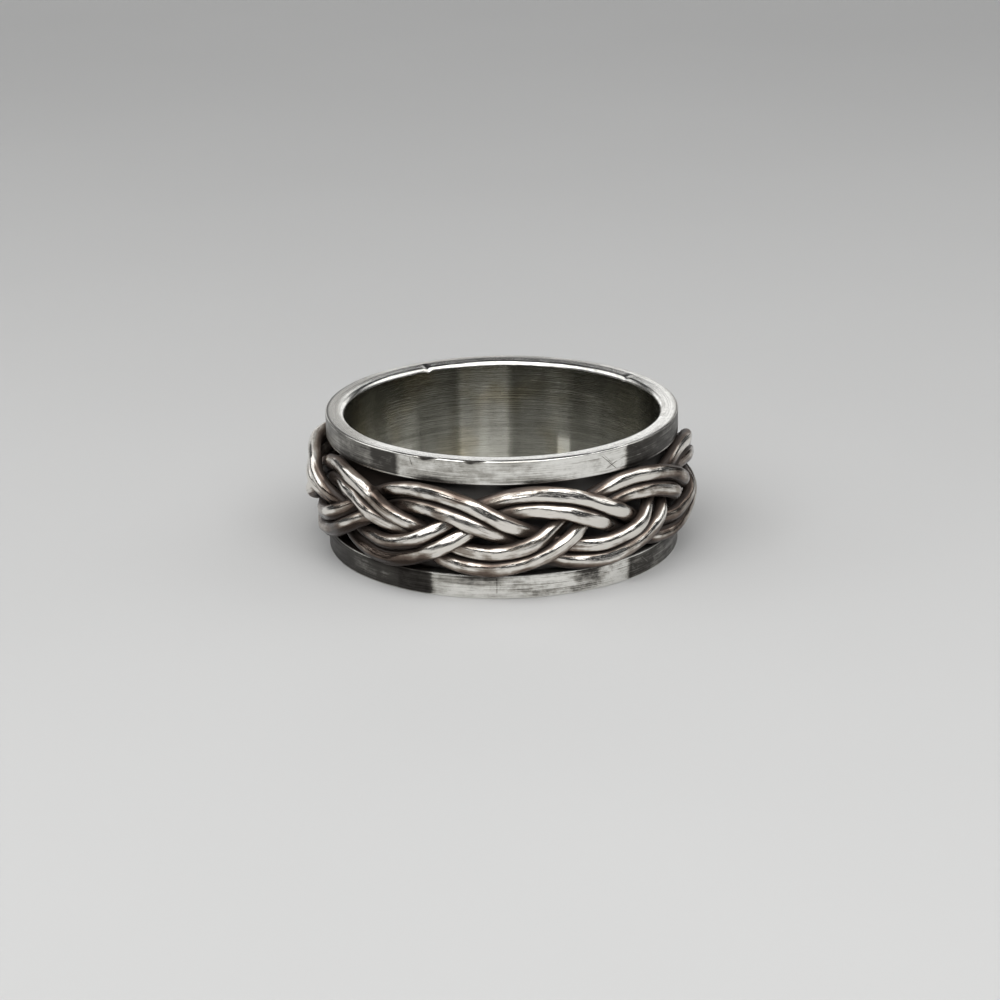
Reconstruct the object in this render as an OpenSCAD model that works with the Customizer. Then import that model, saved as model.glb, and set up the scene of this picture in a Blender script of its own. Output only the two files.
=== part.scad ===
// Braided band ring, lying on its lower rim with the finger hole upright.
// A plain sleeve carries two raised rims, soldered on, and a plait of three
// strands lies in the channel between them. Each strand is a pair of round
// wires, rolled a little flat. Millimetres, +Z up along the finger, origin on
// the axis at the bottom of the band. The front of the ring faces -Y.

/* [Band] */
// Diameter of the bore, which sets the finger size
bore_d = 18.2; // [16:0.1:21]
// Height of the band, measured along the finger
band_h = 8.05; // [7.4:0.05:9.5]
// Wall of the sleeve below the plait
sleeve_wall = 0.36; // [0.3:0.02:0.8]
// Height of each raised rim
rim_h = 1.36; // [1:0.02:1.5]
// How far the rims stand out from the sleeve
rim_rise = 0.74; // [0.5:0.02:0.9]
// Small round on the outer edges of the rims
rim_round = 0.08; // [0.04:0.02:0.2]
// Width of the bevel at each end of the bore, seen from above
bevel_w = 0.1; // [0.04:0.02:0.2]
// Length of the same bevel along the finger
bevel_h = 0.3; // [0.1:0.02:0.5]

/* [Wire] */
// Width of a wire, measured across the strand
wire_w = 0.84; // [0.6:0.02:0.9]
// Thickness of a wire, measured outward
wire_t = 0.76; // [0.5:0.02:0.9]

/* [Plait] */
// Times that a strand turns over in the upper row, once around
repeats = 10; // [8:1:11]
// Place of one turn in the upper row, in degrees from the front
first_turn = 10.7; // [0:0.1:36]
// Unevenness of the hand plaiting, in degrees along the band
drift = 1.6; // [0:0.1:2]
// Place of the joint where the strands' ends meet, in degrees along the plait
joint_at = 189; // [180:1:198]
// How far the plait stands off its seat where it was tied in loosely
loose_lift = 0.2; // [0:0.02:0.3]
// Middle of that loose stretch, in degrees from the front
loose_at = -92; // [-180:1:180]

/* [Gaps] */
// Between the two wires of a strand
pair_gap = 0.12; // [0.1:0.01:0.2]
// Between two strands where one crosses the other
cross_gap = 0.07; // [0.05:0.01:0.15]
// Between the plait and the sleeve
seat_gap = 0.09; // [0.05:0.01:0.2]
// Between the plait and each rim
rim_gap = 0.1; // [0.05:0.01:0.2]
// Between the ends that meet at the joint
joint_gap = 0.08; // [0.05:0.01:0.2]

/* [Hidden] */

// Smoothness of the plait's wires: rings once around, and sides of a ring
ring_count = 108;
ring_sides = 10;
// Steps in the small round of the rim's edge
round_steps = 3;
STRANDS = 3;
// Side of its strand on which a wire runs: the upper one is left of travel
UPPER = 1;
LOWER = -1;

// Radii and heights of the band
bore_r = bore_d / 2;
sleeve_r = bore_r + sleeve_wall;
rim_r = sleeve_r + rim_rise;
channel_h = band_h - 2 * rim_h;

// A plait lies in its channel only when its wire is thin enough for it, so
// the wire is drawn down to this share of the channel where it would crowd
fit_share = 0.162;
drawn_w = min(wire_w, channel_h * fit_share);
half_pair = (drawn_w + pair_gap) / 2;

// Rise and fall of a strand's middle line. A small share of a threefold
// wave makes its turns a little squarer than a plain wave
square_share = 0.02;
swing = (channel_h / 2 - rim_gap - drawn_w / 2 - half_pair) / (1 - square_share);
function rise(t) = swing * (sin(t) + square_share * sin(3 * t));
function rise_rate(t) = swing * (cos(t) + 3 * square_share * cos(3 * t));

// In and out swing of a strand, over one crossing and under the next, as
// [waves in one turn of the strand, share of the step between the layers]
weave = [
    [2, 0.54],
    [4, 0.155],
    [6, 0.08]
];
function total(list, i = 0) = i < len(list) ? list[i] + total(list, i + 1) : 0;
function weave_at(q) = total([for (row = weave) row[1] * sin(row[0] * q)]);
weave_peak = max([for (q = [0 : 2 : 90]) weave_at(q)]);

// Middle radius of the plait, and arc length for one radian of a strand's turn
layer_plain = wire_t + cross_gap;
plait_r = sleeve_r + seat_gap + wire_t / 2 + weave_peak * layer_plain;
run = plait_r * STRANDS / repeats;

// Steepness of the strands where they cross, and the crowding there: the
// half length of a crossing as a share of the way between two crossings
cross_slope = atan2(swing * cos(30), run);
crossing = 2 * cross_slope;
cross_zone = (2 * drawn_w + pair_gap) / 2 * (1 / sin(crossing) + 1 / tan(crossing));
cross_room = run * PI / 3 / cos(cross_slope);
crowding = cross_zone / cross_room;
// A crowded plait lifts a little more at its crossings
easy_crowding = 0.53;
lift_rate = 4.5;
layer_step = layer_plain * (1 + lift_rate * max(0, crowding - easy_crowding));
weave_r = plait_r + weave_peak * (layer_step - layer_plain);

// The two wires of a strand cross another strand one after the other, so
// the weave of each is led or held back by this angle of the strand's turn
lead_share = 1.3;
lead = lead_share * half_pair / tan(crossing) * cos(cross_slope) / run / cos(30) * 180 / PI;

// Angle that the joint's gap takes up along the plait, on each side
joint_half = joint_gap / plait_r * 90 / PI;

// Turn of strand j at angle a along the plait, and the true angle there
function turn_of(j, a) = 90 + a * repeats / STRANDS - j * 360 / STRANDS;
function around(a) = first_turn + a - drift * sin(a);

// The loose stretch rises and falls within this many degrees of its middle
loose_reach = 35;
function loose_rise(az) =
    let (away = (az - loose_at + 900) % 360 - 180)
    abs(away) < loose_reach ? loose_lift * pow(cos(away * 90 / loose_reach), 2) : 0;

// Middle line of a wire at angle a along the plait
function wire_at(j, side, a) =
    let (
        t = turn_of(j, a),
        slope = atan2(rise_rate(t), run),
        woven = weave_r - layer_step * weave_at(t + side * lead * cos(t)),
        az = around(a) - side * half_pair * sin(slope) / plait_r * 180 / PI,
        r = woven + loose_rise(az)
    )
    [r * sin(az), -r * cos(az), band_h / 2 + rise(t) + side * half_pair * cos(slope)];

function unit(v) = v / norm(v);

// One ring of points around a wire, square to its run
function wire_ring(j, side, a) =
    let (
        p = wire_at(j, side, a),
        ahead = unit(wire_at(j, side, a + 0.05) - wire_at(j, side, a - 0.05)),
        flat_out = unit([p[0], p[1], 0]),
        across = unit(cross(ahead, flat_out)),
        out = cross(across, ahead)
    )
    [for (k = [0 : ring_sides - 1])
        let (turn = k * 360 / ring_sides)
        p + across * drawn_w / 2 * cos(turn) + out * wire_t / 2 * sin(turn)];

// One wire, once around from one side of the joint to the other
module wire(j, side) {
    first = joint_at - 360 + joint_half;
    step = (360 - 2 * joint_half) / ring_count;
    points = [for (i = [0 : ring_count]) each wire_ring(j, side, first + i * step)];
    walls = [for (i = [0 : ring_count - 1], k = [0 : ring_sides - 1])
        let (
            a = i * ring_sides + k,
            b = i * ring_sides + (k + 1) % ring_sides
        )
        each [[a, b, b + ring_sides], [a, b + ring_sides, a + ring_sides]]];
    start_cap = [for (k = [ring_sides - 1 : -1 : 0]) k];
    end_cap = [for (k = [0 : ring_sides - 1]) ring_count * ring_sides + k];
    polyhedron(points, concat(walls, [start_cap, end_cap]));
}

// The round on the rim's outer edge, from its flat end to its outer wall
function rim_edge() = [for (i = [0 : round_steps])
    let (a = 90 - 90 * i / round_steps)
    [rim_r - rim_round + rim_round * cos(a), band_h / 2 - rim_round + rim_round * sin(a)]];

// Upper half of the band's section, from the bore up and out to the sleeve
function upper_section() = concat(
    [[bore_r, band_h / 2 - bevel_h], [bore_r + bevel_w, band_h / 2]],
    rim_edge(),
    [[rim_r, channel_h / 2], [sleeve_r, channel_h / 2]]
);

// Sleeve and two soldered rims, one piece of metal with a true round bore
module band() {
    top = upper_section();
    last = len(top) - 1;
    bottom = [for (i = [last : -1 : 0]) [top[i][0], -top[i][1]]];
    color("silver")
    translate([0, 0, band_h / 2])
    rotate_extrude($fn = 180)
    polygon(concat(top, bottom));
}

// One strand of the plait, a pair of wires side by side
module strand(j) {
    wire(j, UPPER);
    wire(j, LOWER);
}

module strand_a() { color("silver") strand(0); }
module strand_b() { color("silver") strand(1); }
module strand_c() { color("silver") strand(2); }

band();
strand_a();
strand_b();
strand_c();
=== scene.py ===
"""The looks of the braided band ring: worn, oxidised silver on a pale floor.

Lengths are in metres and angles in radians, unless a name ends in MM or DEG.
Tables of marks, flats, dashes, nicks and scratches are in degrees and millimetres.
The ring's axis is +Z and its front faces -Y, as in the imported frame.
"""

import math

import bmesh
import bpy
import numpy as np
from mathutils import Matrix, Vector, kdtree


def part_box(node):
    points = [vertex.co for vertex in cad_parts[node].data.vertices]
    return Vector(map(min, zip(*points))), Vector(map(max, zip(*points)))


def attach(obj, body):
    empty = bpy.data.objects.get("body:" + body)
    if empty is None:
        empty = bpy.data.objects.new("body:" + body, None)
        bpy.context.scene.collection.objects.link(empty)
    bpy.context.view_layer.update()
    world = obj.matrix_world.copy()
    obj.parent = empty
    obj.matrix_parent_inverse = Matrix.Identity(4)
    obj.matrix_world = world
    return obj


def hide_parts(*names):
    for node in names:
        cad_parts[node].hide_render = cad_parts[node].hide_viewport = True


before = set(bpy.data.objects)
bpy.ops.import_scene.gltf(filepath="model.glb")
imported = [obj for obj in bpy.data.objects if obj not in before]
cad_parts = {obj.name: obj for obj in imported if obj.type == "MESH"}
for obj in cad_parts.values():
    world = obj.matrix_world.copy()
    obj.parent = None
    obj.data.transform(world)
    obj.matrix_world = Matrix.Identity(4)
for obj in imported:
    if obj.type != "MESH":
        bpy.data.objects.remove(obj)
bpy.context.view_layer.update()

MM = 0.001
# Turns a number for each millimetre into one for each metre
PER_MM = 1 / MM
RNG = np.random.default_rng(7)

# Sizes of the band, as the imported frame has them
BAND_LOW, BAND_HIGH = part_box("band")
BAND_H = BAND_HIGH.z - BAND_LOW.z
RIM_R = (BAND_HIGH.x - BAND_LOW.x) / 2
RIM_RISE = 0.74 * MM
SLEEVE_WALL = 0.36 * MM
RIM_H = 1.36 * MM
RIM_ROUND = 0.08 * MM
BEVEL_W = 0.10 * MM
BEVEL_H = 0.30 * MM
SLEEVE_R = RIM_R - RIM_RISE
BORE_R = SLEEVE_R - SLEEVE_WALL
CHANNEL_H = BAND_H - 2 * RIM_H

# Sizes of the plait, as the part's source has them
WIRE_W = 0.84 * MM
WIRE_T = 0.76 * MM
REPEATS = 10
FIRST_TURN_DEG = 10.7
DRIFT_DEG = 1.6
JOINT_AT_DEG = 189
PAIR_GAP = 0.12 * MM
CROSS_GAP = 0.07 * MM
SEAT_GAP = 0.09 * MM
RIM_GAP = 0.10 * MM
JOINT_GAP = 0.08 * MM
SQUARE_SHARE = 0.02
LEAD_SHARE = 1.3
STRANDS = 3
UPPER, LOWER = 1, -1
# In and out swing of a strand: waves in one turn, share of the step between layers
WEAVE = [(2, 0.54), (4, 0.155), (6, 0.08)]
# The stretch where the plait stands off its seat
LOOSE_LIFT = 0.20 * MM
LOOSE_AT_DEG = -92
LOOSE_REACH_DEG = 35

HALF_PAIR = (WIRE_W + PAIR_GAP) / 2
SWING = (CHANNEL_H / 2 - RIM_GAP - WIRE_W / 2 - HALF_PAIR) / (1 - SQUARE_SHARE)


def weave_at(turn):
    """In and out swing of a strand, as a share of the step between layers."""
    return sum(share * np.sin(waves * turn) for waves, share in WEAVE)


LAYER_STEP = WIRE_T + CROSS_GAP
WEAVE_PEAK = float(weave_at(np.radians(np.arange(0, 91, 2))).max())
PLAIT_R = SLEEVE_R + SEAT_GAP + WIRE_T / 2 + WEAVE_PEAK * LAYER_STEP
RUN = PLAIT_R * STRANDS / REPEATS
CROSS_SLOPE = math.atan2(SWING * math.cos(math.radians(30)), RUN)
LEAD = (LEAD_SHARE * HALF_PAIR / math.tan(2 * CROSS_SLOPE)
        * math.cos(CROSS_SLOPE) / RUN / math.cos(math.radians(30)))


# Shape of the plait

def turn_of(strand, a):
    """Turn of a strand at angle a along the plait."""
    return math.pi / 2 + a * REPEATS / STRANDS - strand * 2 * math.pi / STRANDS


def around(a):
    """True angle from the front at angle a along the plait."""
    return math.radians(FIRST_TURN_DEG) + a - math.radians(DRIFT_DEG) * np.sin(a)


def loose_rise(az):
    """How far the plait stands off its seat at a true angle az."""
    away = (np.degrees(az) - LOOSE_AT_DEG + 900) % 360 - 180
    share = np.cos(np.radians(np.clip(away / LOOSE_REACH_DEG, -1, 1) * 90)) ** 2
    return LOOSE_LIFT * share


def wire_line(strand, side, a, half_pair=HALF_PAIR):
    """Middle line of a wire at the angles a along the plait."""
    t = turn_of(strand, a)
    slope = np.arctan2(SWING * (np.cos(t) + 3 * SQUARE_SHARE * np.cos(3 * t)), RUN)
    az = around(a) - side * half_pair * np.sin(slope) / PLAIT_R
    r = PLAIT_R - LAYER_STEP * weave_at(t + side * LEAD * np.cos(t)) + loose_rise(az)
    rise = SWING * (np.sin(t) + SQUARE_SHARE * np.sin(3 * t))
    z = BAND_H / 2 + rise + side * half_pair * np.cos(slope)
    return np.stack([r * np.sin(az), -r * np.cos(az), z], axis=-1)


def unit(v):
    """Vectors of length 1 along v."""
    return v / np.linalg.norm(v, axis=-1, keepdims=True)


def soft_wave(x, seeds, lengths):
    """A smooth, uneven wave along x, between about -1 and 1."""
    total = 0
    for seed, length in zip(seeds, lengths):
        total = total + np.sin(2 * math.pi * x / length + seed)
    return total / len(lengths)


# Fine form of a wire
WIRE_RINGS = 640
WIRE_SIDES = 26
# A rolled wire is squarer outward than a plain oval
FLATNESS = 2.05
# Wear has cut what stands prouder than this radius down to this share
WEAR_R = 11.2 * MM
WEAR_KEEP = 0.9
# The wires of a pair all but touch, where the source keeps them clear
FULL_W = 0.91 * MM
FULL_HALF_PAIR = 0.467 * MM
# and their ends at the joint are closed up to this share of its gap
JOINT_SHARE = 0.25
# Small step along the plait that gives a wire's direction
AHEAD = 0.001
# Hand-drawn wire is uneven: it swells by this share and wanders this far
SWELL = 0.03
WOBBLE = 0.02 * MM
WOBBLE_LENGTHS = [1.7 * MM, 3.1 * MM, 5.3 * MM, 8.9 * MM]
# Hammer and rolling flats along a wire, one every so often
FLAT_SPACING = 1.3 * MM
FLAT_REACH = 0.9 * MM
FLAT_CURVE = 0.03 / MM
# Limits of their places in that spacing, tilts, depths in millimetres and slants
FLAT_PLACES = (0.2, 0.8)
FLAT_TILTS = (-0.85, 0.85)
FLAT_DEPTHS = (-0.01, 0.085)
FLAT_SLANTS = (-0.05, 0.05)
# Share of what stands over a flat that is pushed in
FLAT_PUSH = 0.9
# The flats that show most at the front: angle and height of the middle, how
# many degrees it faces up, half length and depth in millimetres
CHOSEN_FLATS = [
    (-4.7, 5.37, 17, 1.0, 0.065), (-9.0, 4.80, 17, 1.2, 0.05), (-20.5, 4.13, 18, 0.6, 0.04),
    (-14.8, 3.63, 18, 0.6, 0.04), (7.8, 3.70, 16, 1.4, 0.05), (24.2, 5.02, 18, 0.8, 0.045),
    (27.0, 4.30, 2, 1.2, 0.07), (29.5, 5.66, 38, 0.9, 0.06), (58.0, 4.60, 14, 1.2, 0.06),
    (-22.3, 6.48, 17, 1.1, 0.03), (-45.0, 5.55, 30, 0.8, 0.04),
]
# Radius of the crowns, and how near it a wire passes that takes such a flat
CROWN_R = 10.75 * MM
CROWN_REACH = 0.45 * MM
# A small dent in the upper wire of the pair left of the front
DENT_AT_DEG = -41.9
DENT_Z = 5.9 * MM
DENT_R = 0.18 * MM
DENT_DEPTH = 0.12 * MM
# Keeps the grain of one wire apart from that of the next
GRAIN_APART = 100 * MM


def path_length(points):
    """Length along a path, up to each of its points."""
    return np.concatenate([[0], np.cumsum(np.linalg.norm(np.diff(points, axis=0), axis=1))])


def place_flats(middle, length, across, out):
    """Rows of the flats on one wire: place along it, tilt, depth, slant and curve."""
    count = int(length[-1] / FLAT_SPACING)
    places = (np.arange(count) + RNG.uniform(*FLAT_PLACES, count)) * FLAT_SPACING
    tilts = RNG.uniform(*FLAT_TILTS, count)
    depths = RNG.uniform(*FLAT_DEPTHS, count) * MM
    slants = RNG.uniform(*FLAT_SLANTS, count)
    curves = np.full(count, FLAT_CURVE)
    chosen = []
    for az_deg, z, up_deg, half_length, depth in CHOSEN_FLATS:
        az, up = math.radians(az_deg), math.radians(up_deg)
        centre = np.array([CROWN_R * math.sin(az), -CROWN_R * math.cos(az), z * MM])
        away = np.linalg.norm(middle - centre, axis=1)
        n = int(away.argmin())
        if away[n] < CROWN_REACH:
            level = math.cos(up)
            facing = np.array([level * math.sin(az), -level * math.cos(az), math.sin(up)])
            tilt = math.atan2(facing @ across[n], facing @ out[n])
            chosen.append((length[n], tilt, depth * MM, 0, depth * MM / (half_length * MM) ** 2))
    spread = [row for row in zip(places, tilts, depths, slants, curves)
              if all(abs(row[0] - other[0]) > FLAT_SPACING for other in chosen)]
    return spread + chosen


def roll_flats(u, v, length, ease, flats):
    """Presses flats into the section (u across, v outward) of a wire, in place."""
    for place, tilt, depth, slant, curve in flats:
        near = np.abs(length - place) < 2 * FLAT_REACH
        run = (length[near] - place)[:, None]
        nu, nv = math.sin(tilt), math.cos(tilt)
        support = math.hypot(FULL_W / 2 * nu, WIRE_T / 2 * nv)
        over = u[near] * nu + v[near] * nv - (support - depth + slant * run + curve * run ** 2)
        push = np.where(over > 0, over * FLAT_PUSH, 0) * ease[near][:, None]
        u[near] -= push * nu
        v[near] -= push * nv


def wear_down(points, middle):
    """Wears down what stands proud and presses in the dent, in place."""
    r = np.linalg.norm(points[..., :2], axis=-1)
    limit = WEAR_R + loose_rise(np.arctan2(middle[:, 0], -middle[:, 1]))[:, None]
    worn = np.where(r > limit, limit + (r - limit) * WEAR_KEEP, r)
    from_dent = np.arctan2(points[..., 0], -points[..., 1]) - math.radians(DENT_AT_DEG)
    from_dent = np.hypot(from_dent * worn, points[..., 2] - DENT_Z)
    worn = worn - DENT_DEPTH * np.exp(-(from_dent / DENT_R) ** 2) * (worn > PLAIT_R)
    points[..., :2] *= (worn / r)[..., None]


def wire_mesh(strand, side):
    """Points, grain coordinates and faces of one wire with its rolled flats."""
    half_joint = JOINT_GAP * JOINT_SHARE / PLAIT_R / 2
    first = math.radians(JOINT_AT_DEG) - 2 * math.pi + half_joint
    last = math.radians(JOINT_AT_DEG) - half_joint
    a = np.linspace(first, last, WIRE_RINGS + 1)
    middle = wire_line(strand, side, a, FULL_HALF_PAIR)
    ahead = unit(wire_line(strand, side, a + AHEAD) - wire_line(strand, side, a - AHEAD))
    radial = unit(middle * np.array([1, 1, 0]))
    across = unit(np.cross(ahead, radial))
    out = np.cross(across, ahead)
    length = path_length(middle)

    k = np.arange(WIRE_SIDES) * 2 * math.pi / WIRE_SIDES
    c, s = np.cos(k), np.sin(k)
    squarer = 2 / np.where(s > 0, FLATNESS, 2.0)
    u = np.tile(np.sign(c) * np.abs(c) ** squarer * FULL_W / 2, (len(a), 1))
    v = np.tile(np.sign(s) * np.abs(s) ** squarer * WIRE_T / 2, (len(a), 1))

    # The ends that meet at the joint keep their plain form
    ease = np.clip(np.minimum(length, length[-1] - length) / FLAT_REACH, 0, 1)
    waves = []
    for _ in range(4):
        seeds = RNG.uniform(0, 2 * math.pi, len(WOBBLE_LENGTHS))
        waves.append(ease * soft_wave(length, seeds, WOBBLE_LENGTHS))
    wider, aside, thicker, outward = waves
    u = u * (1 + SWELL * wider)[:, None] + WOBBLE * aside[:, None]
    v = v * (1 + SWELL * thicker)[:, None] + WOBBLE * outward[:, None]
    roll_flats(u, v, length, ease, place_flats(middle, length, across, out))
    points = middle[:, None] + u[..., None] * across[:, None] + v[..., None] * out[:, None]
    wear_down(points, middle)

    own_grain = GRAIN_APART * (2 * strand + (side > 0))
    grain = np.stack([
        np.tile(c * WIRE_W / 2, (len(a), 1)),
        np.tile(s * WIRE_T / 2, (len(a), 1)),
        np.tile(length[:, None], (1, WIRE_SIDES)) + own_grain,
    ], axis=-1)

    i, j = np.meshgrid(np.arange(WIRE_RINGS), np.arange(WIRE_SIDES), indexing="ij")
    p = i * WIRE_SIDES + j
    q = i * WIRE_SIDES + (j + 1) % WIRE_SIDES
    quads = np.stack([p, p + WIRE_SIDES, q + WIRE_SIDES, q], axis=-1).reshape(-1, 4)
    start_cap = list(range(WIRE_SIDES))
    end_cap = [WIRE_RINGS * WIRE_SIDES + n for n in reversed(start_cap)]
    return points.reshape(-1, 3), grain.reshape(-1, 3), quads.tolist() + [start_cap, end_cap]


def make_object(name, points, faces, grain):
    """A smooth mesh object with its grain coordinates as an attribute."""
    mesh = bpy.data.meshes.new(name)
    mesh.from_pydata(points.tolist(), [], faces)
    mesh.attributes.new("grain", "FLOAT_VECTOR", "POINT").data.foreach_set("vector", grain.ravel())
    mesh.shade_smooth()
    bm = bmesh.new()
    bm.from_mesh(mesh)
    bmesh.ops.recalc_face_normals(bm, faces=bm.faces)
    bm.to_mesh(mesh)
    bm.free()
    obj = bpy.data.objects.new(name, mesh)
    bpy.context.scene.collection.objects.link(obj)
    return obj


def make_strand(strand, name):
    """Both wires of one strand in one object."""
    points, grain, faces = [], [], []
    start = 0
    for side in (UPPER, LOWER):
        p, g, f = wire_mesh(strand, side)
        points.append(p)
        grain.append(g)
        faces += [[start + n for n in face] for face in f]
        start += len(p)
    return make_object(name, np.concatenate(points), faces, np.concatenate(grain))


# Shape of the band
BAND_STEPS = 720
# Small rounds of the edges inside the channel
SHARP = 0.05 * MM
# The bore's edge is worn round between these tilts, and at the back each end
# face slopes by this much from there out to this radius
BEVEL_TILTS_DEG = (6, 62)
BEVEL_STEPS = 9
WORN_DROP = 0.07 * MM
SLOPE_R = 9.79 * MM
BEVEL_START = BAND_H / 2 - BEVEL_H - WORN_DROP
# In front the end faces are flatter by up to this share
FRONT_FLAT = 0.8
# Solder left in the two corners of the channel
FILLET = 0.12 * MM
# Filing has left the rims uneven by this much, and the top face by this much
RIM_UNEVEN = 0.05 * MM
TOP_UNEVEN = 0.035 * MM
# The broken solder line by the top face's outer edge, in dashes of
# (angles from and to, radii from and to in millimetres, darkness)
SEAM_DASHES = [
    (-38, -26, 10.10, 10.10, 0.4), (-28, -20.5, 10.08, 10.11, 1.0), (-21, -8, 10.00, 10.10, 0.5),
    (-12.5, -5, 10.12, 10.13, 1.0), (-6, 14, 10.14, 10.14, 0.25), (-5, 12, 9.98, 9.96, 0.5),
    (4, 30, 9.97, 10.06, 0.8), (30, 40, 10.06, 10.08, 0.4),
]
SEAM_DEPTH = 0.05 * MM
SEAM_HALF = 0.05 * MM
# How far it wanders, over these lengths in degrees
SEAM_WANDER = 0.03 * MM
SEAM_SEEDS = [0.4, 2.0, 4.4]
SEAM_LENGTHS_DEG = [31, 13, 7.7]
# Nicks in the bore's upper edge: angle, half width in degrees, depth in millimetres
NICKS = [(-151.1, 0.9, 0.10), (127.1, 1.2, 0.04)]


def arc(r, z, radius, start_deg, end_deg, steps):
    """Points of an arc about (r, z) in the band's section."""
    a = np.radians(np.linspace(start_deg, end_deg, steps + 1))
    return [(r + radius * math.cos(x), z + radius * math.sin(x)) for x in a]


def line(start, end, steps):
    """Points between two points of the section, without the last."""
    start, end = np.array(start), np.array(end)
    return [tuple(start + (end - start) * i / steps) for i in range(steps)]


def upper_section():
    """Upper half of the section about the band's middle, bore to sleeve. The
    last number of each stretch is its count of steps."""
    top = BAND_H / 2
    wall = CHANNEL_H / 2
    section = line((BORE_R, 0), (BORE_R, BEVEL_START), 14)
    tilts = np.radians(np.linspace(*BEVEL_TILTS_DEG, BEVEL_STEPS))
    r, z = BORE_R, BEVEL_START
    step = BEVEL_H / np.cos(tilts).sum()
    for tilt in tilts:
        section.append((r, z))
        r, z = r + step * math.sin(tilt), z + step * math.cos(tilt)
    section += line((r, z), (SLOPE_R, top), 6)
    section += line((SLOPE_R, top), (RIM_R - RIM_ROUND, top), 11)
    section += arc(RIM_R - RIM_ROUND, top - RIM_ROUND, RIM_ROUND, 90, 0, 5)
    section += line((RIM_R, top - RIM_ROUND * 1.3), (RIM_R, wall + SHARP), 8)
    section += arc(RIM_R - SHARP, wall + SHARP, SHARP, 0, -90, 2)
    section += line((RIM_R - SHARP * 1.3, wall), (SLEEVE_R + FILLET, wall), 3)
    section += arc(SLEEVE_R + FILLET, wall - FILLET, FILLET, 90, 180, 3)
    section += line((SLEEVE_R, wall - FILLET * 1.2), (SLEEVE_R, 0), 4)
    return np.array(section)


def unevenness(az, size):
    """A wave once around the ring, between 0 and size below."""
    turns = np.array([1, 2, 3, 5, 8, 13])
    waves = np.sin(az[:, None] * turns + RNG.uniform(0, 6.28, len(turns))) / turns ** 0.7
    waves = waves.sum(1)
    return (size * (waves - waves.max()) / (waves.max() - waves.min()))[:, None]


def seam_share(az_deg, r, z):
    """How much of the solder line's depth each point has, 0 to 1."""
    wander = SEAM_WANDER * soft_wave(az_deg, SEAM_SEEDS, SEAM_LENGTHS_DEG)
    in_seam = np.zeros_like(r)
    for first, last, r_first, r_last, dark in SEAM_DASHES:
        share = (az_deg - first) / (last - first)
        dash_r = (r_first + (r_last - r_first) * share) * MM + wander
        within = np.clip(3 * np.minimum(share, 1 - share), 0, 1) ** 0.7
        away = (r - dash_r[:, None]) / (SEAM_HALF * (0.5 + 0.5 * dark * within[:, None]))
        in_seam = np.maximum(in_seam, dark * np.exp(-away ** 2) * within[:, None])
    return in_seam * (z > BAND_H / 2 - 2 * RIM_ROUND)


def make_band():
    """The sleeve and its two rims, with their hand-made unevenness."""
    upper = upper_section()
    lower = upper[::-1] * np.array([1, -1])
    section = np.concatenate([upper, [[SLEEVE_R, 0]], lower[:-1]])
    az = np.arange(BAND_STEPS) * 2 * math.pi / BAND_STEPS - math.pi
    az_deg = np.degrees(az)
    r = np.tile(section[:, 0], (BAND_STEPS, 1))
    z = np.tile(section[:, 1], (BAND_STEPS, 1))

    # In front the end faces are nearly flat
    inner = np.clip((SLOPE_R - r) / (SLOPE_R - BORE_R - BEVEL_W * 2), 0, 1)
    inner *= np.abs(z) > BEVEL_START - WORN_DROP * 0.01
    flat = FRONT_FLAT * np.cos(az / 2)[:, None] ** 2
    z += np.sign(z) * flat * WORN_DROP * inner

    for at, half, deep in NICKS:
        dip = deep * MM * np.exp(-((az_deg - at) / half) ** 2)[:, None]
        near_bore = np.clip(1.5 * (SLOPE_R - r) / (SLOPE_R - BORE_R), 0, 1)
        z -= dip * near_bore * (z > BEVEL_START)

    # The rims are uneven, never proud of their true size
    on_rim = np.clip((r - SLEEVE_R) / RIM_RISE, 0, 1) * (np.abs(z) > CHANNEL_H / 2 - SHARP)
    upper_rim = on_rim * (z > 0)
    lower_rim = on_rim * (z < 0)
    r += upper_rim * unevenness(az, RIM_UNEVEN) + lower_rim * unevenness(az, RIM_UNEVEN)
    at_top = np.clip((z - CHANNEL_H / 2) / RIM_H, 0, 1)
    z += at_top * unevenness(az, TOP_UNEVEN)
    z += upper_rim * (1 - at_top) * unevenness(az, RIM_UNEVEN)
    above_base = np.clip((z + CHANNEL_H / 2 + RIM_H) / RIM_H, 0, 1)
    z -= lower_rim * above_base * unevenness(az, RIM_UNEVEN)

    in_seam = seam_share(az_deg, r, z)
    z -= SEAM_DEPTH * in_seam

    front = np.sin(az)[:, None], -np.cos(az)[:, None]
    points = np.stack([r * front[0], r * front[1], z + BAND_H / 2], axis=-1)
    run = np.tile(path_length(section), (BAND_STEPS, 1))
    grain = np.stack([front[0] * RIM_R + 0 * r, front[1] * RIM_R + 0 * r, run], axis=-1)
    n = len(section)
    i, j = np.meshgrid(np.arange(BAND_STEPS), np.arange(n), indexing="ij")
    here = i * n + j
    up = i * n + (j + 1) % n
    next_here = (i + 1) % BAND_STEPS * n + j
    next_up = (i + 1) % BAND_STEPS * n + (j + 1) % n
    quads = np.stack([here, up, next_up, next_here], axis=-1).reshape(-1, 4)
    obj = make_object("ring_band", points.reshape(-1, 3), quads.tolist(), grain.reshape(-1, 3))
    obj.data.attributes.new("seam", "FLOAT", "POINT").data.foreach_set("value", in_seam.ravel())
    return obj


def vertices_of(obj, normals=False):
    """Places or normals of an object's vertices."""
    values = np.zeros(len(obj.data.vertices) * 3, np.float32)
    if normals:
        obj.data.vertex_normals.foreach_get("vector", values)
    else:
        obj.data.vertices.foreach_get("co", values)
    return values.reshape(-1, 3)


# How far out of a surface its shelter is felt, with the weight of each
PROBES = [(0.14 * MM, 0.45), (0.34 * MM, 0.35), (0.8 * MM, 0.35)]


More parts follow.
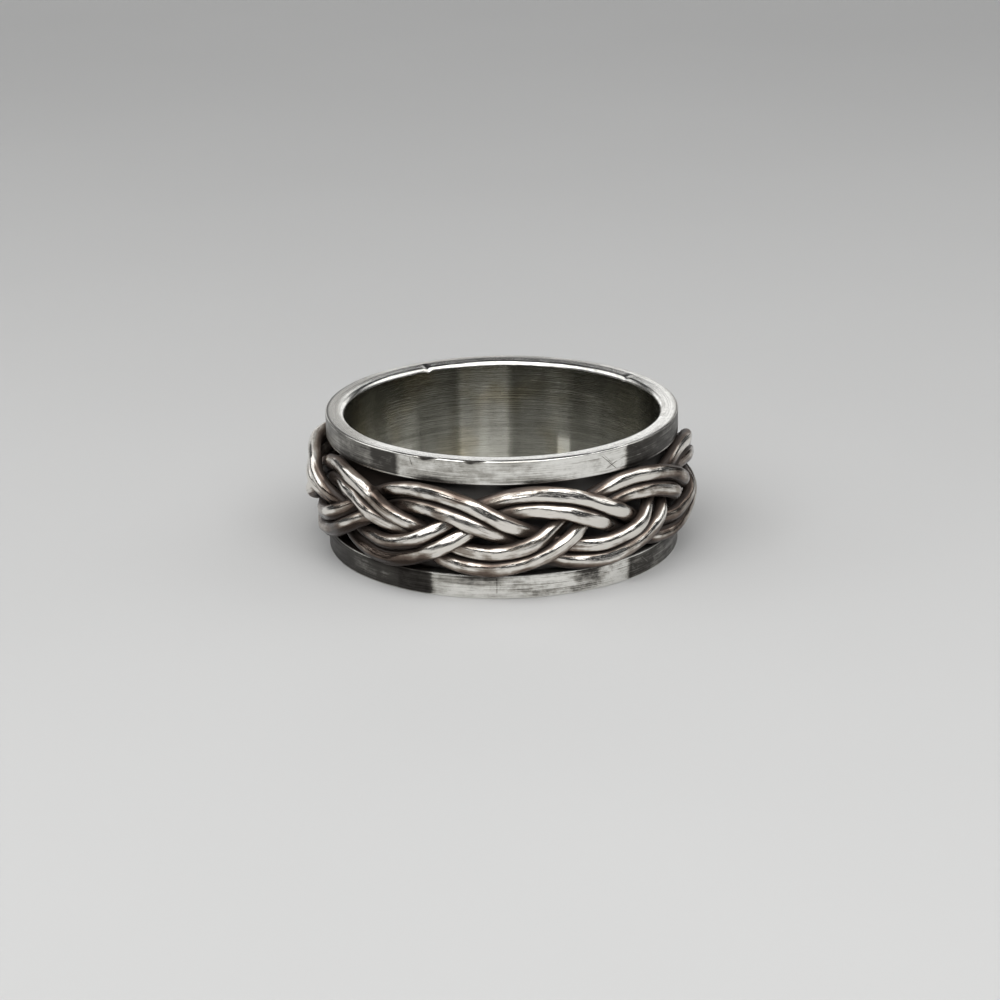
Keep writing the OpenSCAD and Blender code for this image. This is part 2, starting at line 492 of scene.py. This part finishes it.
def mark_shelter(objects):
    """Stores how much metal stands round each point, 0 to 1, as oxide stays there."""
    cloud = np.concatenate([vertices_of(o) for o in objects])
    tree = kdtree.KDTree(len(cloud))
    for n, point in enumerate(cloud):
        tree.insert(point, n)
    tree.balance()
    for o in objects:
        points, normals = vertices_of(o), vertices_of(o, normals=True)
        shelter = np.zeros(len(points), np.float32)
        for reach, weight in PROBES:
            probes = points + normals * reach
            near = np.array([tree.find(p)[2] for p in probes])
            shelter += weight * np.clip(1 - near / reach, 0, 1)
        data = o.data.attributes.new("shelter", "FLOAT", "POINT").data
        data.foreach_set("value", np.clip(shelter, 0, 1))


# Materials

class Graph:
    """A node tree, with a short call for each kind of node that the looks need."""

    def __init__(self, tree):
        self.nodes, self.links = tree.nodes, tree.links

    def put(self, value, socket):
        """Gives a socket a colour, a number or the output of another node."""
        if isinstance(value, tuple):
            socket.default_value = (*value, 1)
        elif isinstance(value, (int, float)):
            socket.default_value = value
        else:
            self.links.new(value, socket)

    def feed(self, shader, values):
        """Links each named socket of the shader to its value."""
        for name, value in values.items():
            self.links.new(value, shader.inputs[name])

    def coordinates(self, kind="Object"):
        return self.nodes.new("ShaderNodeTexCoord").outputs[kind]

    def attribute(self, name, kind="Fac"):
        node = self.nodes.new("ShaderNodeAttribute")
        node.attribute_name = name
        return node.outputs[kind]

    def split(self, vector):
        """The three parts of a vector."""
        node = self.nodes.new("ShaderNodeSeparateXYZ")
        self.links.new(vector, node.inputs[0])
        return list(node.outputs)

    def calc(self, operation, a, b=None, c=None, clamp=False):
        """One step of arithmetic."""
        node = self.nodes.new("ShaderNodeMath")
        node.operation = operation
        node.use_clamp = clamp
        for socket, value in zip(node.inputs, (a, b, c)):
            if value is not None:
                self.put(value, socket)
        return node.outputs[0]

    def times(self, a, b):
        return self.calc("MULTIPLY", a, b)

    def add(self, *values):
        total = values[0]
        for value in values[1:]:
            total = self.calc("ADD", total, value)
        return total

    def weighted(self, *terms):
        """Sum of (value, weight) or (value, weight, middle) terms, with the
        middle taken off its value first."""
        parts = []
        for value, weight, *middle in terms:
            offset = -weight * middle[0] if middle else 0
            parts.append(self.calc("MULTIPLY_ADD", value, weight, offset))
        return self.add(*parts)

    def step(self, source, low, high):
        """0 below low and 1 above high, or the other way round, with a soft change."""
        node = self.nodes.new("ShaderNodeMapRange")
        node.interpolation_type = "SMOOTHSTEP"
        self.links.new(source, node.inputs["Value"])
        node.inputs["From Min"].default_value = low
        node.inputs["From Max"].default_value = high
        return node.outputs["Result"]

    def window(self, value, low, high, soft):
        """1 between low and high, 0 beyond them, with soft ends."""
        rise = self.step(value, low - soft / 2, low + soft / 2)
        fall = self.step(value, high + soft / 2, high - soft / 2)
        return self.times(rise, fall)

    def marks(self, az, z, rows):
        """Sum of marks, each a row of angles from and to, heights from and to in
        millimetres, softness of the angles and of the heights, and strength."""
        total = 0.0
        for az_low, az_high, z_low, z_high, soft_deg, soft_z, strength in rows:
            across = self.window(az, az_low, az_high, soft_deg)
            upright = self.window(z, z_low * MM, z_high * MM, soft_z * MM)
            total = self.calc("MULTIPLY_ADD", self.times(across, upright), strength, total)
        return total

    def polar(self, place):
        """Angle from the front in degrees, distance from the axis, and height."""
        x, y, z = self.split(place)
        az = self.times(self.calc("ARCTAN2", x, self.times(y, -1)), 180 / math.pi)
        flat = self.nodes.new("ShaderNodeCombineXYZ")
        self.links.new(x, flat.inputs["X"])
        self.links.new(y, flat.inputs["Y"])
        length = self.nodes.new("ShaderNodeVectorMath")
        length.operation = "LENGTH"
        self.links.new(flat.outputs[0], length.inputs[0])
        return az, length.outputs["Value"], z

    def stretch(self, source, per_mm):
        """Coordinates at this many units to a millimetre, each way."""
        node = self.nodes.new("ShaderNodeMapping")
        node.inputs["Scale"].default_value = [units * PER_MM for units in per_mm]
        self.links.new(source, node.inputs["Vector"])
        return node.outputs[0]

    def noise(self, vector, scale=1.0, detail=3.0, rough=0.55):
        node = self.nodes.new("ShaderNodeTexNoise")
        node.inputs["Scale"].default_value = scale
        node.inputs["Detail"].default_value = detail
        node.inputs["Roughness"].default_value = rough
        self.links.new(vector, node.inputs["Vector"])
        return node.outputs["Fac"]

    def ramp(self, source, stops):
        """A colour ramp through (place, grey or colour) stops."""
        node = self.nodes.new("ShaderNodeValToRGB")
        elements = node.color_ramp.elements
        while len(elements) < len(stops):
            elements.new(0.5)
        for element, (place, value) in zip(elements, stops):
            element.position = place
            rgb = (value,) * 3 if isinstance(value, (int, float)) else value
            element.color = (*rgb, 1)
        self.links.new(source, node.inputs["Fac"])
        return node.outputs["Color"]

    def mix(self, factor, a, b, blend="MIX"):
        """Two colours mixed by a factor."""
        node = self.nodes.new("ShaderNodeMix")
        node.data_type = "RGBA"
        node.blend_type = blend
        sockets = [s for s in node.inputs if s.enabled]
        for socket, value in zip(sockets, (factor, a, b)):
            self.put(value, socket)
        return [s for s in node.outputs if s.enabled][0]

    def bump(self, height, strength, distance):
        """A normal that follows a height."""
        node = self.nodes.new("ShaderNodeBump")
        node.inputs["Strength"].default_value = strength
        node.inputs["Distance"].default_value = distance
        self.links.new(height, node.inputs["Height"])
        return node.outputs[0]


def new_material(name):
    """A material with its graph and its shader."""
    mat = bpy.data.materials.new(name)
    mat.use_nodes = True
    g = Graph(mat.node_tree)
    g.nodes.clear()
    shader = g.nodes.new("ShaderNodeBsdfPrincipled")
    output = g.nodes.new("ShaderNodeOutputMaterial")
    g.links.new(shader.outputs["BSDF"], output.inputs["Surface"])
    return mat, g, shader


# Colours of the wires, from polished to black with oxide
POLISHED = (0.88, 0.845, 0.786)
TARNISHED = (0.39, 0.345, 0.297)
BROWN_OXIDE = (0.172, 0.132, 0.108)
DARK_OXIDE = (0.044, 0.033, 0.027)
# and of the band, with the dull crust in its channel
WHITE_SILVER = (0.93, 0.92, 0.88)
GREY_SILVER = (0.50, 0.485, 0.445)
GREY_OXIDE = (0.085, 0.08, 0.073)
BLACK_OXIDE = (0.022, 0.019, 0.017)
CRUST = (0.14, 0.133, 0.125)
# and of its bore
BORE_DARK = (0.2, 0.197, 0.17)
BORE_GREY = (0.39, 0.385, 0.338)
BORE_BRIGHT = (0.86, 0.85, 0.77)
WARM_TARNISH = (1.0, 0.94, 0.81)

# Where oxide begins and where it is full: from a wire's middle outward, and from
# the ring's axis for the hollows; where painted shade begins and is full: from a
# wire's middle down, and from the ring's axis for the lower layer of wires
FLANK = (0.43 * WIRE_T, 0.16 * WIRE_T)
UNDERSIDE = (-0.05 * WIRE_W, 0.32 * WIRE_W)
HOLLOWS = (10.75 * MM, 10.15 * MM)
LOWER_LAYER = (11.0 * MM, 10.7 * MM)
# Colours by the amount of oxide with painted shade and reflection, or in the bore by wear with painted
# reflection
PLAIT_TINTS = [(0.14, POLISHED), (0.29, TARNISHED), (0.47, BROWN_OXIDE), (0.8, DARK_OXIDE)]
BAND_TINTS = [(0.0, WHITE_SILVER), (0.2, GREY_SILVER), (0.45, GREY_OXIDE), (0.85, BLACK_OXIDE)]
BORE_TINTS = [(0.0, BORE_DARK), (0.45, BORE_GREY), (0.95, BORE_BRIGHT)]

# Rows for Graph.marks: stretches of the plait that are darker, partly with oxide
# and partly as painted reflection of dark surroundings, or lighter where the
# strength is below zero, partly as painted highlight
PLAIT_STAINS_AND_PAINTED_LIGHT = [
    (-66, -22, 0.5, 3.1, 8, 0.7, 0.4), (-72, -50, 3.9, 5.0, 6, 0.5, 0.3),
    (-38, -18, 4.8, 5.8, 6, 0.5, 0.14), (58, 95, 1.0, 6.0, 8, 0.8, 0.3),
    (-14, -3, 1.6, 3.2, 4, 0.5, 0.22), (-21, -11, 5.8, 6.6, 4, 0.4, 0.28),
    (-84, -66, 0.5, 4.0, 4, 0.4, 0.3), (44, 66, 5.2, 7.0, 6, 0.4, 0.14),
    (-44, -34, 4.8, 5.7, 3, 0.4, 0.2), (20, 28, 1.6, 3.1, 5, 0.5, 0.15),
    (44, 53, 1.6, 3.2, 5, 0.5, 0.25), (-110, -76, 4.6, 8.0, 6, 0.6, -0.4),
    (-54, -44, 5.6, 6.8, 4, 0.3, -0.2), (34, 50, 5.6, 6.8, 5, 0.3, -0.2),
    (24, 33, 5.8, 6.5, 4, 0.4, 0.2), (34, 40, 5.0, 5.6, 4, 0.4, 0.15),
    (-42.7, -41.1, 5.75, 6.05, 0.8, 0.12, 0.5), (-40.8, -35.5, 5.2, 5.9, 2, 0.3, 0.22),
    (-66, -50, 2.2, 3.2, 4, 0.4, 0.25),
]
# painted shade on the wires' undersides alone, in the same kind of rows
UNDERSIDE_PAINTED_SHADE = [
    (-80, -22, 0.5, 3.6, 8, 0.8, 0.7), (-80, -45, 3.2, 5.4, 8, 0.8, 0.4),
    (-22, 95, 0.5, 2.5, 8, 0.5, 0.25), (50, 95, 2.5, 6.0, 8, 0.8, 0.35),
    (-52, -2, 2.9, 5.0, 8, 0.6, 0.16), (15, 60, 0.5, 3.3, 8, 0.5, 0.13),
]
# and painted shade on the lower layer of wires alone, in one hollow
DEEP_PAINTED_SHADE = [(-84, -60, 4.3, 5.9, 5, 0.5, 0.5)]


def plait_material():
    """Polished crowns, brown flanks and black hollows, fine marks along the wires, and painted shade
    and reflections in places.
    """
    mat, g, shader = new_material("plait_silver")
    shelter = g.attribute("shelter")
    grain = g.attribute("grain", "Vector")
    place = g.coordinates()
    az, radius, z = g.polar(place)

    # Parts of a wire's section and layers of the plait
    down, outward, _ = g.split(grain)
    flank = g.step(outward, *FLANK)
    underside = g.step(down, *UNDERSIDE)
    depth = g.step(radius, *HOLLOWS)
    lower_layer = g.step(radius, *LOWER_LAYER)

    # Painted shade on the wires' undersides
    underside_shade = g.times(underside, g.marks(az, z, UNDERSIDE_PAINTED_SHADE))
    # Stains, and painted reflection of dark surroundings and painted highlight
    stains_and_painted_light = g.marks(az, z, PLAIT_STAINS_AND_PAINTED_LIGHT)
    # Painted shade on the lower layer of wires in one hollow
    deep = g.times(lower_layer, g.marks(az, z, DEEP_PAINTED_SHADE))
    blotch = g.noise(place, 0.9 * PER_MM, detail=4)
    patch = g.noise(place, 0.33 * PER_MM, detail=2)
    streak = g.noise(g.stretch(grain, (7, 7, 0.6)))
    hair = g.noise(g.stretch(grain, (60, 60, 3)), detail=2)
    darkening = g.weighted((shelter, 0.52), (flank, 0.46), (depth, 0.28),
                       (blotch, 0.75, 0.46), (patch, 0.7, 0.46), (streak, 0.65, 0.5))
    # Thick oxide is a matt crust and no longer shines as metal; stains, painted reflection and painted
    # shade mostly still do
    crust = g.weighted((darkening, 1), (underside_shade, 0.15), (stains_and_painted_light, 0.15), (deep, 0.5))
    rough = g.ramp(crust, [(0.12, 0.1), (0.3, 0.24), (0.6, 0.5)])
    relief = g.weighted((streak, 0.85), (hair, 0.12))
    g.feed(shader, {
        "Base Color": g.ramp(g.add(darkening, underside_shade, stains_and_painted_light, deep), PLAIT_TINTS),
        "Metallic": g.ramp(crust, [(0.4, 1.0), (0.8, 0.3)]),
        "Roughness": g.weighted((rough, 1), (hair, 0.08, 0.3)),
        "Normal": g.bump(relief, strength=0.6, distance=0.05 * MM),
    })
    return mat


# Scratches on the rim walls: angles and heights from and to, half width in
# millimetres, and how dark
SCRATCHES = [
    (32.6, 7.75, 38.2, 6.85, 0.035, 0.3), (33.6, 7.75, 36.6, 7.2, 0.025, 0.25),
    (34.2, 6.95, 38.6, 7.3, 0.03, 0.25), (36.5, 7.15, 41.8, 7.4, 0.025, 0.2),
    (-30.3, 7.9, -29.5, 7.5, 0.03, 0.25), (45, 7.9, 47.5, 7.7, 0.035, -0.12),
    (50, 1.05, 53, 0.6, 0.03, -0.12),
]
# Rows for Graph.marks: painted reflections on the rim walls in front, from side to side,
# darker towards the sides and lighter where the strength is below zero
WALL_PAINTED_REFLECTIONS = [
    (-179, -35, 6.5, 8.4, 3, 0.2, 0.33), (-46, -35, 6.5, 8.0, 3, 0.2, 0.12),
    (-35, 10, 6.5, 8.4, 6, 0.2, 0.09), (17, 42.5, 6.5, 8.4, 5, 0.2, -0.08),
    (42.5, 179, 6.5, 8.4, 3, 0.2, 0.46), (-179, -23.5, -0.4, 1.6, 4, 0.2, 0.5),
    (-35.6, -23.5, -0.4, 1.6, 1.5, 0.2, 0.12), (33, 43.3, -0.4, 1.6, 3, 0.2, -0.1),
    (43.3, 179, -0.4, 1.6, 3, 0.2, 0.38),
]
# how much more mottled than elsewhere the rim walls are, or less
MOTTLING = [
    (-183, -35.5, -1, 9, 3, 1, -0.4), (3, 44, -0.4, 1.6, 6, 0.2, 0.8), (30, 44, 6.5, 8.4, 6, 0.2, 0.5),
]
# stains and a seam on the rim walls, painted shade along the upper rim's lower edge
# in front, and lighter patches where the strength is below zero
RIM_STAINS_AND_SHADE = [
    (-22, -1, 0.75, 1.4, 4, 0.4, 0.2), (22.7, 31.7, 0.3, 1.3, 4, 0.4, 0.22),
    # the second row here is the painted shade along the upper rim's lower edge
    (-2.6, -2.1, 0.33, 1.22, 0.4, 0.1, 0.12), (-27, -8, 6.6, 6.95, 6, 0.15, 0.1),
    (-58, -45, 0.4, 1.1, 5, 0.5, -0.09), (-43, -37, 0.5, 1.3, 3, 0.4, -0.08),
]
# and painted reflections in the bore: brighter upright zones, darker where the strength is below zero
BORE_PAINTED_REFLECTIONS = [
    (-183, -163, -1, 9, 3.5, 1, 0.55), (177, 183, -1, 9, 4, 1, 0.55),
    (100, 152, -1, 9, 4, 1, -0.1), (-160, -120, -1, 9, 10, 1, 0.05),
    (-175, -171, 2, 6.5, 3, 2, 0.15), (-146, -130, -1, 6.4, 3, 1.2, 0.24),
    (153, 158.2, 1.6, 3.4, 1.8, 1.0, 0.75), (153.6, 162.7, 3.6, 9, 4, 1.6, 0.24),
    (139, 146, 4, 7, 5, 2, 0.16),
]
# The least oxide in the channel, and what is rubbed off the rims' edges
CHANNEL_OXIDE = 0.62
RUBBED_OFF = -0.38


def scratch(g, az, z, az_from, z_from, az_to, z_to, half_width, strength):
    """A straight scratch on the rim walls between two places."""
    degree = math.radians(RIM_R)
    across = (az_to - az_from) * degree
    rise = (z_to - z_from) * MM
    length = math.hypot(across, rise)
    e = g.calc("MULTIPLY_ADD", az, degree, -az_from * degree)
    h = g.calc("SUBTRACT", z, z_from * MM)
    along = g.weighted((e, across / length), (h, rise / length))
    beside = g.calc("ABSOLUTE", g.weighted((e, -rise / length), (h, across / length)))
    on_line = g.step(beside, half_width * MM, half_width * MM / 3)
    return g.times(g.times(on_line, g.window(along, 0, length, 0.15 * MM)), strength)


def bore_tint_and_reflections(g, place, az, z, cloud):
    """Tone of the bore: faint rings of old wear and random upright streaks, with painted reflections in
    brighter upright zones.
    """
    upright = g.noise(g.stretch(place, (0.5, 0.5, 0.04)), detail=4, rough=0.6)
    rings = g.noise(g.stretch(place, (0.22, 0.22, 5)), detail=5, rough=0.7)
    worn = g.weighted((upright, 0.6, 0.3), (rings, 0.75, 0.4), (cloud, 0.5, 0.5))
    # The marks added to worn here are painted reflections, not wear
    worn = g.add(worn, g.marks(az, z, BORE_PAINTED_REFLECTIONS))
    tint = g.ramp(worn, BORE_TINTS)
    warm = g.step(g.noise(place, 0.28 * PER_MM, detail=2), 0.46, 0.68)
    return g.mix(warm, tint, g.mix(1.0, tint, WARM_TARNISH, "MULTIPLY"))


def band_material():
    """The sleeve and rims: fine scratches round the rims, dark channel, tarnished bore, with painted
    reflections on the rim walls, end faces and bore, and painted shade in places.
    """
    mat, g, shader = new_material("band_silver")
    shelter = g.attribute("shelter")
    seam = g.attribute("seam")
    grain = g.attribute("grain", "Vector")
    place = g.coordinates()

    # Places on the band
    az, radius, z = g.polar(place)
    turned = g.calc("ABSOLUTE", az)
    off_middle = g.calc("ABSOLUTE", g.calc("SUBTRACT", z, BAND_H / 2))
    bore_limit = BORE_R + BEVEL_W * 0.05
    in_bore = g.calc("LESS_THAN", radius, bore_limit)
    in_channel = g.step(off_middle, CHANNEL_H / 2 + SHARP, CHANNEL_H / 2 - SHARP)
    recess = g.times(in_channel, g.calc("GREATER_THAN", radius, bore_limit))
    top_face = g.step(off_middle, BAND_H / 2 - BEVEL_H / 4, BAND_H / 2 - BEVEL_H / 8)
    on_wall = g.step(radius, RIM_R - 3 * RIM_ROUND, RIM_R - RIM_ROUND / 2)
    in_front = g.step(turned, 150, 90)

    # Fine scratches, smudges and pits
    brushed = g.noise(g.stretch(grain, (0.35, 0.35, 22)), detail=5, rough=0.65)
    smear = g.noise(g.stretch(grain, (0.8, 0.8, 2.2)), detail=5, rough=0.6)
    cloud = g.noise(place, 0.45 * PER_MM, detail=4, rough=0.6)
    spots = g.noise(place, 3 * PER_MM, detail=4, rough=0.7)
    uneven = g.weighted((smear, 0.5, 0.40), (cloud, 0.25, 0.5), (spots, 0.3, 0.5), (brushed, 0.75, 0.5))
    mottling = g.weighted((top_face, -0.55), (g.marks(az, z, MOTTLING), 1))
    uneven = g.calc("MULTIPLY_ADD", uneven, mottling, uneven)

    # Painted reflections on the rim walls and on the end faces
    wall_reflection = g.times(g.times(in_front, on_wall), g.marks(az, z, WALL_PAINTED_REFLECTIONS))
    # The end faces are painted darker at the back and at the left and lighter in front, as reflection
    face_reflection = g.weighted((g.step(turned, 110, 165), 0.18), (g.window(az, -130, -50, 30), 0.23),
                           (g.window(az, -45, 45, 20), -0.08))
    face_reflection = g.times(face_reflection, top_face)

    # Edges rubbed bright
    outer = g.step(radius, RIM_R - 0.09 * MM, RIM_R - 0.05 * MM)
    inner_edge = g.window(off_middle, CHANNEL_H / 2 - 0.02 * MM, CHANNEL_H / 2 + 0.08 * MM, 0.04 * MM)
    end_edge = g.step(off_middle, BAND_H / 2 - 0.10 * MM, BAND_H / 2 - 0.04 * MM)
    rubbed = g.times(g.times(outer, g.add(inner_edge, end_edge)), RUBBED_OFF)

    # darkening holds oxide, wear and stains together with the painted reflections on the walls and end
    # faces and the painted shade of the rim marks
    darkening = g.add(g.weighted((shelter, 0.9), (uneven, 1)), wall_reflection, face_reflection, rubbed,
                  g.marks(az, z, RIM_STAINS_AND_SHADE), *[scratch(g, az, z, *row) for row in SCRATCHES])
    darkening = g.calc("MAXIMUM", darkening, g.times(recess, CHANNEL_OXIDE))
    darkening = g.calc("MAXIMUM", darkening, seam, clamp=True)
    tint = g.ramp(darkening, BAND_TINTS)
    # The oxide in the channel is a matt crust, greyer in most places and painted black at the left,
    # where it lies in shade
    channel_crust_and_shade = g.mix(g.window(az, -120, -24, 16), CRUST, DARK_OXIDE)
    tint = g.mix(recess, tint, channel_crust_and_shade)
    rough = g.ramp(darkening, [(0.0, 0.17), (0.4, 0.34), (0.8, 0.55)])
    relief = g.weighted((brushed, 1), (spots, 0.4), (smear, 0.4))
    g.feed(shader, {
        "Base Color": g.mix(in_bore, tint, bore_tint_and_reflections(g, place, az, z, cloud)),
        "Metallic": g.calc("MULTIPLY_ADD", recess, -0.7, 1.0),
        "Roughness": g.weighted((rough, 1), (brushed, 0.2, 0.5)),
        "Normal": g.bump(relief, strength=0.5, distance=0.02 * MM),
    })
    return mat


FLOOR_TONES = [(0.3, (0.51, 0.51, 0.505)), (0.7, (0.535, 0.535, 0.53))]


def floor_material():
    """Matt, pale and faintly clouded."""
    mat, g, shader = new_material("pale_floor")
    g.feed(shader, {"Base Color": g.ramp(g.noise(g.coordinates(), 12), FLOOR_TONES)})
    shader.inputs["Roughness"].default_value = 0.75
    return mat


# Pieces
STRAND_NODES = ["strand_a", "strand_b", "strand_c"]
band = make_band()
strands = [make_strand(n, f"plait_{node}") for n, node in enumerate(STRAND_NODES)]
mark_shelter([band] + strands)

band.data.materials.append(band_material())
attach(band, "root")
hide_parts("band")
wire_finish = plait_material()
for obj, node in zip(strands, STRAND_NODES):
    obj.data.materials.append(wire_finish)
    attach(obj, "root")
    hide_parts(node)

# Floor
FLOOR_WIDTH = 1.2
bpy.ops.mesh.primitive_plane_add(size=FLOOR_WIDTH)
floor = bpy.context.object
floor.name = "floor"
floor.data.materials.append(floor_material())

# Lights: dim grey walls, darker towards the ceiling, and a few soft boxes
WALLS = [(0.0, (0.066, 0.067, 0.069)), (0.3, (0.045, 0.046, 0.048)), (0.6, (0.03, 0.031, 0.033))]
world = bpy.data.worlds.new("studio")
world.use_nodes = True
sky = Graph(world.node_tree)
_, _, upward = sky.split(sky.coordinates("Generated"))
sky.feed(sky.nodes["Background"], {"Color": sky.ramp(upward, WALLS)})
bpy.context.scene.world = world

# Soft boxes: name, azimuth from the front and height in degrees, distance,
# width and height of the box, and its power in watts
SOFT_BOXES = [
    ("top_box", -5, 58, 0.20, 0.34, 0.22, 0.66),
    ("right_box", 100, 40, 0.22, 0.20, 0.14, 0.12),
    ("left_box", -100, 40, 0.22, 0.20, 0.14, 0.12),
    ("back_box", 182, 13, 0.26, 0.34, 0.10, 0.106),
]


def softbox(name, azimuth_deg, height_deg, distance, width, height, power):
    """An area light that faces the ring, azimuth 0 in front of it."""
    light = bpy.data.lights.new(name, "AREA")
    light.shape = "RECTANGLE"
    light.size, light.size_y = width, height
    light.energy = power
    obj = bpy.data.objects.new(name, light)
    az, el = math.radians(azimuth_deg), math.radians(height_deg)
    back = Vector((math.sin(az) * math.cos(el), -math.cos(az) * math.cos(el), math.sin(el)))
    obj.location = back * distance + Vector((0, 0, BAND_H / 2))
    obj.rotation_euler = back.to_track_quat("Z", "Y").to_euler()
    bpy.context.scene.collection.objects.link(obj)


for box in SOFT_BOXES:
    softbox(*box)

bpy.context.scene.view_settings.view_transform = "Standard"

# Camera, fitted to the edges of the rims in the photograph
CAMERA_HEIGHT_DEG = 18.84
CAMERA_ROLL_DEG = 0.79
CAMERA_DISTANCE = 0.1723
# Sensor in millimetres, and the lens as a share of it
SENSOR_MM = 36
FOCAL_SHARE = 2.959
AIM = Vector((0, 0, 4.2 * MM))
SHIFT_X, SHIFT_Y = -0.00264, -0.03169
CLIP_NEAR, CLIP_FAR = 0.005, 5

el, roll = math.radians(CAMERA_HEIGHT_DEG), math.radians(CAMERA_ROLL_DEG)
back = Vector((0, -math.cos(el), math.sin(el)))
right = Vector((1, 0, 0))
up = back.cross(right)
cam_x = right * math.cos(roll) - up * math.sin(roll)
cam_y = right * math.sin(roll) + up * math.cos(roll)
camera_data = bpy.data.cameras.new("camera")
camera = bpy.data.objects.new("camera", camera_data)
bpy.context.scene.collection.objects.link(camera)
camera_data.sensor_width = SENSOR_MM
camera_data.lens = SENSOR_MM * FOCAL_SHARE
camera_data.shift_x, camera_data.shift_y = SHIFT_X, SHIFT_Y
camera_data.clip_start, camera_data.clip_end = CLIP_NEAR, CLIP_FAR
turn = Matrix((cam_x, cam_y, back)).transposed().to_4x4()
camera.matrix_world = Matrix.Translation(AIM + back * CAMERA_DISTANCE) @ turn
bpy.context.scene.camera = camera
